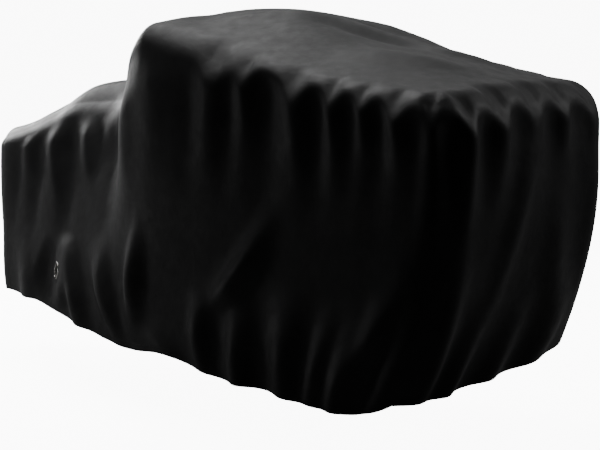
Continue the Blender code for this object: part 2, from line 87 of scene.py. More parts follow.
# Sections across the cover.
# along, half width at top, at belly, at hem, height of near, middle, far top edge, of near hem, far hem
SECTIONS = np.array((
    (-0.335, 0.085, 0.115, 0.120, 0.745, 0.772, 0.745, 0.226, 0.250),
    (-0.200, 0.105, 0.150, 0.175, 0.785, 0.806, 0.790, 0.240, 0.262),
    (0.000, 0.110, 0.190, 0.235, 0.860, 0.884, 0.865, 0.241, 0.262),
    (0.120, 0.110, 0.215, 0.265, 0.915, 0.956, 0.920, 0.229, 0.258),
    (0.290, 0.115, 0.250, 0.300, 0.935, 0.987, 0.940, 0.209, 0.252),
    (0.400, 0.150, 0.285, 0.325, 0.955, 1.008, 0.970, 0.198, 0.250),
    (0.500, 0.248, 0.320, 0.345, 1.045, 1.095, 1.075, 0.184, 0.248),
    (0.600, 0.330, 0.354, 0.362, 1.138, 1.184, 1.177, 0.178, 0.244),
    (0.670, 0.356, 0.369, 0.372, 1.185, 1.222, 1.209, 0.176, 0.242),
    (0.850, 0.368, 0.385, 0.385, 1.160, 1.235, 1.212, 0.190, 0.238),
    (1.000, 0.368, 0.395, 0.400, 1.124, 1.232, 1.190, 0.168, 0.235),
    (1.150, 0.368, 0.400, 0.410, 1.098, 1.203, 1.158, 0.152, 0.232),
    (1.300, 0.368, 0.402, 0.412, 1.072, 1.162, 1.124, 0.149, 0.230),
    (1.500, 0.368, 0.402, 0.412, 1.053, 1.121, 1.091, 0.136, 0.230),
    (1.650, 0.370, 0.400, 0.408, 1.042, 1.091, 1.068, 0.130, 0.232),
    (1.740, 0.374, 0.398, 0.402, 1.037, 1.071, 1.057, 0.147, 0.244),
    (1.850, 0.378, 0.397, 0.400, 1.030, 1.055, 1.050, 0.198, 0.292),
))
TOP_HALF, BELLY_HALF, HEM_HALF, NEAR_TOP, MID_TOP, FAR_TOP, NEAR_HEM, FAR_HEM = range(1, 9)

# Where each level ends: rear, near front corner, far front corner, and the radius of its corners.
LEVELS = {
    "top": (-0.325, 1.800, 1.846, 0.110),
    "belly": (-0.295, 1.806, 1.843, 0.110),
    "hem": (-0.238, 1.684, 1.752, 0.110),
}

# Radius of the shoulder between webs and hollows: place on the near side and the front, radius.
SHOULDERS = np.array((
    (0.000, 0.045),
    (0.250, 0.066),
    (0.600, 0.068),
    (0.900, 0.055),
    (1.100, 0.085),
    (1.300, 0.065),
    (1.500, 0.045),
    (1.900, 0.048),
    (2.250, 0.078),
    (2.700, 0.085),
    (2.895, 0.070),
))

# Folds of the wall. A place is a distance round the rim from the near rear corner, and a depth is 0 at the
# top edge and 1 at the hem. Each fold runs through three places, and stands out (or in) by its height.
# place at head, middle, foot, depth of head, of foot, height, width at head, at foot, peak, bluntness
FOLDS = np.array((
    # hollows under the top edge, from the near rear corner round to the far front corner
    (0.180, 0.180, 0.175, 0.05, 0.70, -0.010, 0.034, 0.036, 0.30, 2.0),
    (0.300, 0.305, 0.310, 0.05, 0.80, -0.011, 0.036, 0.040, 0.30, 2.0),
    (0.450, 0.490, 0.530, 0.05, 0.85, -0.020, 0.050, 0.055, 0.25, 2.0),
    (0.605, 0.620, 0.640, 0.05, 0.50, -0.010, 0.034, 0.040, 0.25, 2.0),
    (0.730, 0.770, 0.810, 0.05, 0.80, -0.022, 0.060, 0.060, 0.25, 2.0),
    (1.220, 1.210, 1.200, 0.05, 0.60, -0.008, 0.045, 0.050, 0.30, 2.0),
    (1.370, 1.360, 1.345, 0.05, 0.55, -0.010, 0.036, 0.045, 0.30, 2.0),
    (1.510, 1.512, 1.520, 0.00, 0.60, -0.018, 0.052, 0.065, 0.20, 2.0),
    (1.695, 1.700, 1.705, 0.00, 0.55, -0.016, 0.040, 0.055, 0.20, 2.0),
    (1.812, 1.812, 1.812, 0.00, 0.45, -0.012, 0.034, 0.045, 0.20, 2.0),
    (1.920, 1.920, 1.920, 0.00, 0.50, -0.013, 0.038, 0.050, 0.22, 2.0),
    (2.050, 2.050, 2.050, 0.01, 0.60, -0.012, 0.048, 0.050, 0.22, 2.0),
    (2.165, 2.165, 2.165, 0.01, 0.60, -0.014, 0.036, 0.036, 0.22, 2.0),
    (2.290, 2.287, 2.280, 0.01, 0.55, -0.015, 0.046, 0.040, 0.22, 2.0),
    (2.440, 2.425, 2.395, 0.01, 0.50, -0.015, 0.050, 0.045, 0.24, 2.0),
    (2.600, 2.590, 2.565, 0.01, 0.50, -0.013, 0.045, 0.050, 0.26, 2.0),
    (2.720, 2.720, 2.740, 0.01, 0.45, -0.011, 0.050, 0.045, 0.26, 2.0),
    # webs that run out from the top edge between the hollows
    (0.235, 0.235, 0.230, 0.05, 0.35, 0.011, 0.036, 0.036, 0.25, 1.9),
    (0.375, 0.410, 0.480, 0.05, 0.60, 0.018, 0.050, 0.036, 0.22, 1.9),
    (0.550, 0.600, 0.690, 0.05, 0.55, 0.020, 0.050, 0.036, 0.22, 1.9),
    (0.655, 0.660, 0.670, 0.05, 0.25, 0.008, 0.030, 0.034, 0.30, 1.9),
    (0.890, 0.900, 0.950, 0.05, 0.60, 0.024, 0.080, 0.050, 0.30, 1.9),
    (1.060, 1.040, 1.020, 0.05, 0.60, 0.014, 0.080, 0.050, 0.22, 1.9),
    (1.315, 1.285, 1.265, 0.00, 0.45, 0.014, 0.055, 0.038, 0.22, 1.9),
    (1.435, 1.430, 1.425, 0.00, 0.36, 0.010, 0.038, 0.036, 0.24, 1.9),
    (1.622, 1.628, 1.640, 0.00, 0.42, 0.017, 0.058, 0.036, 0.24, 1.9),
    (1.760, 1.762, 1.765, 0.00, 0.38, 0.016, 0.046, 0.034, 0.24, 1.9),
    (1.866, 1.866, 1.866, 0.00, 0.25, 0.009, 0.036, 0.034, 0.26, 1.9),
    (1.985, 1.987, 1.990, 0.00, 0.30, 0.012, 0.050, 0.036, 0.26, 1.9),
    (2.108, 2.110, 2.112, 0.00, 0.70, 0.014, 0.030, 0.036, 0.20, 1.9),
    (2.222, 2.220, 2.212, 0.00, 0.55, 0.018, 0.045, 0.036, 0.22, 1.9),
    (2.365, 2.360, 2.348, 0.00, 0.42, 0.018, 0.050, 0.036, 0.26, 1.9),
    (2.525, 2.430, 2.360, 0.02, 0.95, 0.020, 0.045, 0.040, 0.30, 1.9),
    (2.660, 2.660, 2.660, 0.00, 0.30, 0.010, 0.045, 0.038, 0.30, 1.9),
    (2.634, 2.650, 2.690, 0.24, 0.92, 0.020, 0.030, 0.080, 0.60, 1.9),
    (2.815, 2.810, 2.815, 0.02, 0.95, 0.012, 0.045, 0.050, 0.45, 1.9),
    # bulges of the lower wall, where the loose cloth hangs down to the hem
    (0.060, 0.075, 0.110, 0.55, 1.30, 0.013, 0.046, 0.055, 0.55, 2.1),
    (0.240, 0.290, 0.340, 0.60, 1.30, 0.020, 0.057, 0.050, 0.55, 2.1),
    (0.545, 0.640, 0.745, 0.60, 1.15, 0.034, 0.048, 0.055, 0.50, 2.1),
    (0.745, 0.820, 1.010, 0.56, 1.08, 0.032, 0.046, 0.044, 0.55, 2.1),
    (0.980, 0.990, 1.010, 0.56, 0.98, 0.036, 0.041, 0.044, 0.50, 2.1),
    (1.080, 1.170, 1.290, 0.90, 1.06, 0.018, 0.069, 0.066, 0.60, 2.1),
    (1.550, 1.478, 1.325, 0.38, 0.84, 0.036, 0.038, 0.052, 0.60, 2.0),
    (1.318, 1.335, 1.450, 0.72, 1.10, 0.031, 0.040, 0.044, 0.45, 2.1),
    (1.478, 1.520, 1.655, 0.68, 1.20, 0.041, 0.057, 0.044, 0.45, 2.1),
    (1.660, 1.705, 1.850, 0.60, 1.20, 0.045, 0.069, 0.051, 0.50, 2.1),
    (1.828, 1.832, 1.895, 0.64, 1.15, 0.036, 0.040, 0.044, 0.50, 2.1),
    (1.910, 1.925, 1.995, 0.62, 1.20, 0.041, 0.046, 0.044, 0.50, 2.1),
    (2.010, 1.985, 1.950, 0.54, 0.98, 0.031, 0.046, 0.044, 0.50, 2.1),
    (2.140, 2.110, 2.095, 0.54, 1.25, 0.038, 0.055, 0.055, 0.50, 2.1),
    (2.242, 2.205, 2.178, 0.38, 1.25, 0.031, 0.040, 0.044, 0.60, 2.1),
    (2.395, 2.310, 2.290, 0.62, 1.25, 0.031, 0.040, 0.044, 0.55, 2.1),
    (2.560, 2.500, 2.420, 0.60, 1.25, 0.025, 0.046, 0.050, 0.60, 2.1),
    (2.690, 2.690, 2.590, 0.60, 1.20, 0.031, 0.069, 0.061, 0.55, 2.1),
    # the narrow rear end
    (5.120, 5.120, 5.125, 0.00, 0.75, -0.010, 0.060, 0.070, 0.40, 2.0),
    (5.230, 5.220, 5.215, 0.25, 1.10, 0.010, 0.050, 0.060, 0.55, 1.8),
))

# The far side hangs in the near side's folds, but lower ones and set a little apart. Those that start
# this close to the front corner stay on the near side.
FAR_SPREAD = 0.985
FAR_HEIGHT = 0.8
CORNER_FOLDS = 0.06

# Troughs and ridges of the top, as soft lines: along and across of each end, height, half width.
# Each fades in and out over its end part, and towards the shoulder.
CREASE_END = 0.4
CREASE_MARGIN = 0.08
CREASES = np.array((
    (0.780, -0.250, 1.120, 0.060, 0.013, 0.050),
    (0.880, 0.100, 1.300, 0.200, -0.018, 0.040),
    (1.000, 0.220, 1.420, 0.290, 0.016, 0.035),
    (1.050, -0.060, 1.500, 0.120, -0.018, 0.045),
    (1.250, -0.200, 1.700, 0.000, 0.013, 0.050),
    (1.300, 0.080, 1.700, 0.180, 0.013, 0.035),
    (0.650, 0.050, 0.800, -0.300, -0.013, 0.050),
    (-0.250, 0.020, 0.080, -0.020, 0.013, 0.030),
    (0.080, 0.050, 0.430, 0.060, -0.013, 0.030),
))


def read(rows, column, at):
    """Smooth value of one column of a table, between its rows: it never overshoots them."""
    place = rows[:, 0]
    value = rows[:, column]
    step = np.diff(place)
    rise = np.diff(value) / step
    product = rise[:-1] * rise[1:]
    total = np.where(product > 0, rise[:-1] + rise[1:], 1)
    inner = np.where(product > 0, 2 * product / total, 0)
    slope = np.concatenate(([rise[0]], inner, [rise[-1]]))
    at = np.clip(at, place[0], place[-1])
    row = np.clip(np.searchsorted(place, at) - 1, 0, len(step) - 1)
    q = (at - place[row]) / step[row]
    start = (1 + 2 * q) * (1 - q) ** 2 * value[row] + q * (1 - q) ** 2 * step[row] * slope[row]
    end = q * q * (3 - 2 * q) * value[row + 1] - q * q * (1 - q) * step[row] * slope[row + 1]
    return start + end


def ease(q):
    """0 below 0, 1 above 1, and a soft rise between."""
    q = np.clip(q, 0, 1)
    return q * q * (3 - 2 * q)


def along_of(a):
    """Distance along the cover of the rim coordinate a, which is -1 at the rear and 1 at the front."""
    return REAR_END + (a + 1) / 2 * LENGTH


def rim_place(place):
    """Rim coordinates a and b, each -1 to 1, of a distance round the rim."""
    corners = np.cumsum((0, LENGTH, FRONT_WIDTH, LENGTH, REAR_WIDTH))
    place = np.mod(place, RIM_LENGTH)
    a = np.interp(place, corners, (-1, 1, 1, -1, -1))
    b = np.interp(place, corners, (-1, -1, 1, 1, -1))
    return a, b


def place_on_rim(a, b):
    """Distance round the rim of a point on the edge of the unit square."""
    near = (a + 1) / 2 * LENGTH
    front = LENGTH + (b + 1) / 2 * FRONT_WIDTH
    far = LENGTH + FRONT_WIDTH + (1 - a) / 2 * LENGTH
    rear = 2 * LENGTH + FRONT_WIDTH + (1 - b) / 2 * REAR_WIDTH
    return np.select((b < -ON_EDGE, a > ON_EDGE, b > ON_EDGE), (near, front, far), rear)


def plan(a, b, half, level):
    """Plan of one level, a rectangle with round corners. Also how far in from its edge each point is,
    and the rim coordinates of the edge beside it.

    b = -1 is the near side, b = 1 the far side. Inside a corner's square, u and v run from its inner
    sides to 1 at the edge, and the square is laid over a quarter disc."""
    rear, near_front, far_front, corner = LEVELS[level]
    front = near_front + (far_front - near_front) * (b + 1) / 2
    reach = (front - rear) / 2
    radius = np.minimum(corner, MOST_CORNER * half)
    u = np.clip(1 - (1 - np.abs(a)) * reach / radius, 0, 1)
    v = np.clip(1 - (1 - np.abs(b)) * half / radius, 0, 1)
    round_u, round_v = u * np.sqrt(1 - v * v / 2), v * np.sqrt(1 - u * u / 2)
    x = (rear + front) / 2 + a * reach - np.sign(a) * radius * (u - round_u)
    y = b * half - np.sign(b) * radius * (v - round_v)
    most = np.maximum(np.maximum(u, v), TINY)
    edge_a = np.where(u > 0, np.sign(a) * (1 - (1 - u / most) * radius / reach), a)
    edge_b = np.where(v > 0, np.sign(b) * (1 - (1 - v / most) * radius / half), b)
    return x, y, radius * (1 - np.hypot(round_u, round_v)), edge_a, edge_b


def top_height(along, b):
    """Height of the top at b across it, before its shoulder is rounded."""
    near, middle, far = (read(SECTIONS, column, along) for column in (NEAR_TOP, MID_TOP, FAR_TOP))
    edge = (near + far) / 2 + (far - near) / 2 * b
    return edge + (middle - (near + far) / 2) * (1 - b * b) ** CROWN_SHAPE


def all_folds():
    """The table's folds and the far side's."""
    near = FOLDS[FOLDS[:, 2] < LENGTH - CORNER_FOLDS]
    far = near.copy()
    far[:, :3] = LENGTH + FRONT_WIDTH + (LENGTH - near[:, :3]) * FAR_SPREAD
    far[:, 5] *= FAR_HEIGHT
    return np.vstack((FOLDS, far))


def round_rim(offset):
    """A distance round the rim, as the shortest way round."""
    return np.mod(offset + RIM_LENGTH / 2, RIM_LENGTH) - RIM_LENGTH / 2


def plain_radius(place):
    """Radius of the shoulder before its webs and hollows: the far side has the near side's."""
    place = np.mod(place, RIM_LENGTH)
    far = place > LENGTH + FRONT_WIDTH
    return read(SHOULDERS, 1, np.where(far, 2 * LENGTH + FRONT_WIDTH - place, place))


def shoulder_radius(place):
    """The shoulder is round where a web runs over it, and sharp over a hollow."""
    web = np.zeros(np.shape(place))
    for head, _, _, start, _, height, wide, _, _, bluntness in all_folds():
        if start < HEAD_DEPTH:
            near = np.abs(round_rim(place - head)) / np.maximum(wide, NARROWEST_FOLD)
            web = web + np.sign(height) * np.exp(-near ** bluntness)
    web = np.clip(web, -1, 1)
    radius = plain_radius(place) * np.where(web > 0, WEB_ROUNDER, HOLLOW_SHARPER) ** web
    return np.minimum(radius, MOST_SHOULDER)


def arc(inset, radius):
    """Fall of a shoulder at a distance in from where it stands at 45 degrees."""
    q = np.clip(radius * DIAGONAL - inset, 0, None)
    return radius - np.sqrt(radius ** 2 - q ** 2)


def plain_wall(a, b, depth):
    """The wall without its folds, from its shoulder down to its hem."""
    along = along_of(a)
    points = [plan(a, b, read(SECTIONS, half, along), level)
              for half, level in ((TOP_HALF, "top"), (BELLY_HALF, "belly"), (HEM_HALF, "hem"))]
    w_top = (depth - BELLY_DEPTH) * (depth - 1) / BELLY_DEPTH
    w_belly = depth * (depth - 1) / (BELLY_DEPTH * (BELLY_DEPTH - 1))
    w_hem = depth * (depth - BELLY_DEPTH) / (1 - BELLY_DEPTH)
    x, y = (w_top * points[0][k] + w_belly * points[1][k] + w_hem * points[2][k] for k in (0, 1))
    edge = top_height(points[0][0], b) - arc(0.0, plain_radius(place_on_rim(a, b)))
    near_hem = read(SECTIONS, NEAR_HEM, along)
    hem = near_hem + (read(SECTIONS, FAR_HEM, along) - near_hem) * ((b + 1) / 2) ** HEM_TILT
    return x, y, edge + (hem - edge) * depth


def outward(place):
    """Level direction that points out of the wall at a distance round the rim."""
    x0, y0, _ = plain_wall(*rim_place(place - TURN_STEP), BELLY_DEPTH)
    x1, y1, _ = plain_wall(*rim_place(place + TURN_STEP), BELLY_DEPTH)
    size = np.hypot(x1 - x0, y1 - y0)
    return (y1 - y0) / size, (x0 - x1) / size


def fold_height(place, depth):
    """How far the folds carry the wall out, added up."""
    total = np.zeros(np.broadcast(place, depth).shape)
    for head, middle, foot, start, stop, height, head_wide, foot_wide, peak, bluntness in all_folds():
        q = np.clip((depth - start) / (stop - start), 0, 1)
        line = head + (4 * middle - 3 * head - foot) * q + 2 * (head + foot - 2 * middle) * q * q
        off = round_rim(place - line)
        plain = head_wide + (foot_wide - head_wide) * q
        width = np.maximum(plain, NARROWEST_FOLD)
        swell = np.where(q < peak, ease(q / peak), ease((1 - q) / (1 - peak)))
        total = total + height * swell * plain / width * np.exp(-np.abs(off / width) ** bluntness)
    return total


def folded_wall(place, depth):
    """The folded wall at a distance round the rim and a depth below the top edge."""
    a, b = rim_place(place)
    x, y, z = plain_wall(a, b, depth)
    radius = shoulder_radius(place)
    lower = arc(0.0, radius) - arc(0.0, plain_radius(place))
    fall = plain_wall(a, b, 0)[2] - z
    z = z - lower * ease(1 - fall / WEB_RETURN)
    out = arc(0.0, radius) - arc(fall, radius) - lower * ease(fall / WEB_RETURN) + fold_height(place, depth)
    nx, ny = outward(place)
    return np.stack(np.broadcast_arrays(x + nx * out, y + ny * out, z), -1)


def eyelet_frame():
    """Centre of the eyelet on the cloth's outer face, and its directions to the side, up and out."""
    centre = folded_wall(EYELET_PLACE, EYELET_DEPTH)
    up = centre - folded_wall(EYELET_PLACE, EYELET_DEPTH + UP_STEP)
    up = up / np.linalg.norm(up)
    nx, ny = outward(EYELET_PLACE)
    turn_x, turn_y = np.cos(EYELET_TURN), np.sin(EYELET_TURN)
    out = np.array((nx * turn_x + ny * turn_y, ny * turn_x - nx * turn_y, 0.0))
    out = out - up * out.dot(up)
    out = out / np.linalg.norm(out)
    return centre, np.cross(up, out), up, out


def wall(place, depth):
    """The folded wall, laid flat round the eyelet."""
    points = folded_wall(place, depth)
    centre, _, _, out = eyelet_frame()
    offset = points - centre
    lift = offset @ out
    reach = np.linalg.norm(offset - lift[..., None] * out, axis=-1)
    near = np.linalg.norm(offset, axis=-1) < 2 * (FLAT_RADIUS + FLAT_BLEND)
    flat = ease(1 - (reach - FLAT_RADIUS) / FLAT_BLEND) * near
    return points - (flat * lift)[..., None] * out


def crease_height(x, y):
    """How far the creases lift or lower the top, added up."""
    total = np.zeros(np.broadcast(x, y).shape)
    for x0, y0, x1, y1, height, width in CREASES:
        length = np.hypot(x1 - x0, y1 - y0)
        ux, uy = (x1 - x0) / length, (y1 - y0) / length
        run = (x - x0) * ux + (y - y0) * uy
        off = (y - y0) * ux - (x - x0) * uy
        swell = ease(run / length / CREASE_END) * ease((length - run) / length / CREASE_END)
        total = total + height * swell * np.exp(-(off / width) ** 2)
    return total


def top(a, b):
    """The top at the rim coordinates a and b, with its rounded shoulder and its creases."""
    along = along_of(a)
    half = read(SECTIONS, TOP_HALF, along)
    x, y, inset, edge_a, edge_b = plan(a, b, half, "top")
    radius = shoulder_radius(place_on_rim(edge_a, edge_b))
    z = top_height(x, b) - arc(inset, radius) + crease_height(x, y) * ease(inset / CREASE_MARGIN)
    return np.stack(np.broadcast_arrays(x, y, z), -1)


# The sheet: columns along and across, and rows down the wall. Its last rows are the folded hem, which
# starts with one short step. WALL_DROP is the cloth from the top edge to the hem, for the weave.
SHEET_ALONG = 200
SHEET_ACROSS = 60
SHOULDER_ROWS = 10
SHOULDER_DEPTH = 0.07
BODY_ROWS = 54
HEM_LINE = 0.975
HEM_STEP = 0.002
HEM_ROWS = 3
HEM_THICKNESS = 0.0032
WALL_DROP = 0.9

# Stitches. Each is a short length of thread that lies on the cloth. They are copied in a tall row,
# STITCH_SPACING apart, before each is laid in its place.
STITCH_PITCH = 0.0048
STITCH_LENGTH = 0.0036
STITCH_RADIUS = 0.00045
STITCH_SIDES = 6
STITCH_RINGS = 4
STITCH_SAMPLES = 8000
STITCH_SPACING = 4.0
HEM_STITCH_LINE = 0.979

# The eyelet is rolled from a barrel and a washer, and clamps the cloth and the patch behind it.
EYELET_HOLE = 0.0190
EYELET_BARREL = 0.0200
EYELET_FLANGE = 0.0290
EYELET_WASHER = 0.0275
FLANGE_CROWN = 0.0024
WASHER_CROWN = 0.0014
RIM_THICKNESS = 0.0008
PATCH_RADIUS = 0.042
PATCH_THICKNESS = 0.0015
PATCH_GAP = 0.0005
PATCH_STITCHING = 0.0385
GAP = 0.0003
CUTTER_DEPTH = 0.02
TURNED_STEPS = 96
CROWN_POINTS = 22
EDGE_POINTS = 8
SHARP_ANGLE = 0.7
MERGE_DISTANCE = 0.00001


def origin():
    """The point under the tall part's top that the cover hangs from."""
    a = 2 * (HELD_ALONG - REAR_END) / LENGTH - 1
    return top(a, 0.0) - (0, 0, CLOTH_THICKNESS)


ORIGIN = origin()


# ---------------------------------------------------------------- camera, floor and lights

# The camera stands off from its target, turned, raised and rolled a little.
CAMERA_TARGET = (0.694, 0.376, 0.5)
CAMERA_AZIMUTH = np.radians(-50.34)
CAMERA_HEIGHT = np.radians(8.03)
CAMERA_DISTANCE = 6.41
CAMERA_ROLL = np.radians(1.39)
FOCAL_PIXELS = 1890.6
IMAGE_WIDTH = 600
SENSOR_WIDTH = 36.0

# The floor is a wide disc. It glows to the camera, and only its dull bounce reaches the cover.
FLOOR_REACH = 160.0
FLOOR_SIDES = 96
FLOOR_COLOUR = (0.90, 0.90, 0.90)
FLOOR_BOUNCE = (0.17, 0.17, 0.17)
FLOOR_GLOW = 10.0
CAMERA_REACH = 4 * FLOOR_REACH

# Soft boxes: name, place, what each is turned to, width in metres, watts.
LIGHTS = (
    ("top light", (-1.0, 0.6, 4.2), (0.3, 0.1, 0.8), 2.2, 120),
    ("near light", (-0.6, -1.3, 4.0), (0.7, -0.3, 0.5), 1.2, 30),
    ("left light", (-3.2, 0.9, 2.0), (0.1, 0.0, 0.7), 1.4, 140),
    ("far light", (-0.4, 2.9, 3.2), (0.3, 0.2, 1.1), 2.4, 12),
    ("low light", (-2.4, -1.6, 0.25), (0.8, -0.2, 0.1), 0.6, 6),
    ("front light", (3.2, 1.9, 2.8), (1.8, 0.2, 0.7), 1.5, 38),
)


def make_camera():
    """The camera looks at the cover from beyond its near front corner, from 1.4 metres up."""
    data = bpy.data.cameras.new("camera")
    data.sensor_width = SENSOR_WIDTH
    data.lens = FOCAL_PIXELS / IMAGE_WIDTH * SENSOR_WIDTH
    data.clip_end = CAMERA_REACH
    back = np.array((np.cos(CAMERA_HEIGHT) * np.cos(CAMERA_AZIMUTH),
                     np.cos(CAMERA_HEIGHT) * np.sin(CAMERA_AZIMUTH), np.sin(CAMERA_HEIGHT)))
    level = np.cross(-back, (0, 0, 1))
    level = level / np.linalg.norm(level)
    upright = np.cross(level, -back)
    right = np.cos(CAMERA_ROLL) * level + np.sin(CAMERA_ROLL) * upright
    up = np.cos(CAMERA_ROLL) * upright - np.sin(CAMERA_ROLL) * level
    matrix = Matrix(np.column_stack((right, up, back))).to_4x4()
    matrix.translation = np.array(CAMERA_TARGET) + back * CAMERA_DISTANCE - ORIGIN
    camera = bpy.data.objects.new("camera", data)
    camera.matrix_world = matrix
    bpy.context.scene.collection.objects.link(camera)
    bpy.context.scene.camera = camera


def make_floor():
    """A plain pale floor at the ground that the covered vehicle stands on."""
    sheet = bmesh.new()
    bmesh.ops.create_circle(sheet, cap_ends=True, segments=FLOOR_SIDES, radius=FLOOR_REACH)
    bmesh.ops.translate(sheet, verts=sheet.verts, vec=(0, 0, -ORIGIN[2]))
    floor = new_object(sheet, "floor")
    floor.data.materials.append(floor_material())


def floor_material():
    """To the camera the floor is a bright paper sweep. It throws little light up on the cover."""
    material = bpy.data.materials.new("pale floor")
    material.use_nodes = True
    tree = material.node_tree
    tree.nodes.remove(tree.nodes["Principled BSDF"])
    paper = node(tree, "ShaderNodeBsdfDiffuse")
    paper.inputs["Color"].default_value = (*FLOOR_COLOUR, 1)
    glow = node(tree, "ShaderNodeEmission", Strength=FLOOR_GLOW)
    seen = node(tree, "ShaderNodeAddShader")
    wire(tree, paper.outputs[0], seen.inputs[0])
    wire(tree, glow.outputs[0], seen.inputs[1])
    dull = node(tree, "ShaderNodeBsdfDiffuse")
    dull.inputs["Color"].default_value = (*FLOOR_BOUNCE, 1)
    ray = node(tree, "ShaderNodeLightPath")
    pick = node(tree, "ShaderNodeMixShader")
    wire(tree, ray.outputs["Is Camera Ray"], pick.inputs["Fac"])
    wire(tree, dull.outputs[0], pick.inputs[1])
    wire(tree, seen.outputs[0], pick.inputs[2])
    wire(tree, pick.outputs[0], tree.nodes["Material Output"].inputs["Surface"])
    return material


def make_lights():
    """The soft boxes. The sky is as bright as the floor to the camera, and lights nothing."""
    world = bpy.data.worlds.new("studio")
    world.use_nodes = True
    tree = world.node_tree
    sky = tree.nodes["Background"]
    sky.inputs["Color"].default_value = (1, 1, 1, 1)
    ray = node(tree, "ShaderNodeLightPath")
    seen = maths(tree, "MULTIPLY", ray.outputs["Is Camera Ray"], FLOOR_GLOW)
    wire(tree, seen, sky.inputs["Strength"])
    bpy.context.scene.world = world
    for name, place, aim, width, watts in LIGHTS:
        data = bpy.data.lights.new(name, "AREA")
        data.energy = watts
        data.size = width
        light = bpy.data.objects.new(name, data)
        light.location = np.array(place) - ORIGIN
        light.rotation_euler = (Vector(place) - Vector(aim)).to_track_quat("Z", "Y").to_euler()
        bpy.context.scene.collection.objects.link(light)


# ---------------------------------------------------------------- materials

# Colours, darkest and lightest.
CLOTH_COLOURS = ((0.020, 0.020, 0.0205), (0.032, 0.032, 0.0325))
DOUBLED_COLOURS = ((0.024, 0.024, 0.0245), (0.036, 0.036, 0.0365))
THREAD_COLOURS = ((0.012, 0.012, 0.013), (0.0216, 0.0216, 0.0234))
NICKEL_COLOURS = ((0.55, 0.54, 0.51), (0.75, 0.74, 0.71))

# The weave: pitch of the threads, how high they stand, and how much they change the colour.
CLOTH_PITCH = 0.0006
DOUBLED_PITCH = 0.0007
WEAVE_HEIGHT = 0.00008
WEAVE_STRENGTH = 0.45
WEAVE_TONE = 0.25

# Dents that the cloth keeps, and its shine.
DENT_SIZE = 0.045
CLOTH_DENTS = 0.0015
DOUBLED_DENTS = 0.0006
DENT_STRENGTH = 1.0
CLOTH_SPECULAR = 0.15
CLOTH_SHEEN = 0.04
SHEEN_ROUGHNESS = 0.4

# Grain of each finish: its size in metres, and the values between which it changes.
CLOTH_TONE = {"Size": 0.11, "Low": 0.0, "High": 0.75}
CLOTH_GLOSS = {"Size": 0.035, "Low": 0.46, "High": 0.60}
THREAD_TONE = {"Size": 0.002, "Low": 0.0, "High": 1.0}
THREAD_GLOSS = {"Size": 0.001, "Low": 0.4, "High": 0.6}
NICKEL_TONE = {"Size": 0.006, "Low": 0.0, "High": 1.0}
NICKEL_GLOSS = {"Size": 0.004, "Low": 0.18, "High": 0.28}
NICKEL_RUBBED = {"Size": 0.0006, "Low": 0.0, "High": 1.0}
RUBBED_DEPTH = 0.00002
RUBBED_STRENGTH = 0.4

# Detail and roughness of the noise in the dents and the grain, and where most of the noise lies.
DENT_NOISE = {"Detail": 3.0, "Roughness": 0.5}
GRAIN_NOISE = {"Detail": 4.0, "Roughness": 0.6}
NOISE_SPREAD = {"From_Min": 0.3, "From_Max": 0.7}


def wire(tree, source, target):
    """A wire from one node's output to another's input."""
    tree.links.new(source, target)


def node(tree, kind, **values):
    """A node of one kind, with its properties and its inputs' values by name."""
    made = tree.nodes.new(kind)
    for key, value in values.items():
        if hasattr(made, key):
            setattr(made, key, value)
        else:
            made.inputs[key.replace("_", " ")].default_value = value
    return made


def maths(tree, operation, first, second=None):
    """The result of one sum on one or two values, each a number or another node's output."""
    made = tree.nodes.new("ShaderNodeMath")
    made.operation = operation
    for socket, value in zip(made.inputs, (first, second)):
        if isinstance(value, bpy.types.NodeSocket):
            wire(tree, value, socket)
        elif value is not None:
            socket.default_value = value
    return made.outputs[0]


def new_group(name, inputs, outputs):
    """An empty shader group. Its first input is the place, and the others are numbers."""
    group = bpy.data.node_groups.new(name, "ShaderNodeTree")
    group.interface.new_socket("Place", in_out="INPUT", socket_type="NodeSocketVector")
    for label in inputs:
        group.interface.new_socket(label, in_out="INPUT", socket_type="NodeSocketFloat")
    for label in outputs:
        group.interface.new_socket(label, in_out="OUTPUT", socket_type="NodeSocketFloat")
    return group, group.nodes.new("NodeGroupInput"), group.nodes.new("NodeGroupOutput")


def plain_weave_group():
    """Threads over and under in a plain weave. Place is in metres on the flat cloth."""
    group, given, made = new_group("plain weave", ("Pitch",), ("Height", "Thread"))
    split = node(group, "ShaderNodeSeparateXYZ")
    wire(group, given.outputs["Place"], split.inputs[0])
    turns = maths(group, "DIVIDE", np.pi, given.outputs["Pitch"])
    warp = maths(group, "SINE", maths(group, "MULTIPLY", split.outputs["X"], turns))
    weft = maths(group, "SINE", maths(group, "MULTIPLY", split.outputs["Y"], turns))
    over = maths(group, "MULTIPLY", warp, weft)
    pick = node(group, "ShaderNodeMix", data_type="FLOAT")
    wire(group, maths(group, "GREATER_THAN", over, 0.0), pick.inputs["Factor"])
    wire(group, maths(group, "ABSOLUTE", warp), pick.inputs["A"])
    wire(group, maths(group, "ABSOLUTE", weft), pick.inputs["B"])
    wire(group, pick.outputs["Result"], made.inputs["Height"])
    wire(group, maths(group, "ADD", maths(group, "MULTIPLY", over, 0.5), 0.5), made.inputs["Thread"])
    return group


def noise(group, given, values):
    """Noise at the group's own place and size."""
    made = node(group, "ShaderNodeTexNoise", **values)
    wire(group, given.outputs["Place"], made.inputs["Vector"])
    wire(group, maths(group, "DIVIDE", 1.0, given.outputs["Size"]), made.inputs["Scale"])
    return made.outputs[0]


def crumple_group():
    """Soft dents that cloth keeps from its bag. Place is in metres."""
    group, given, made = new_group("crumple", ("Size",), ("Height",))
    wire(group, noise(group, given, DENT_NOISE), made.inputs["Height"])
    return group


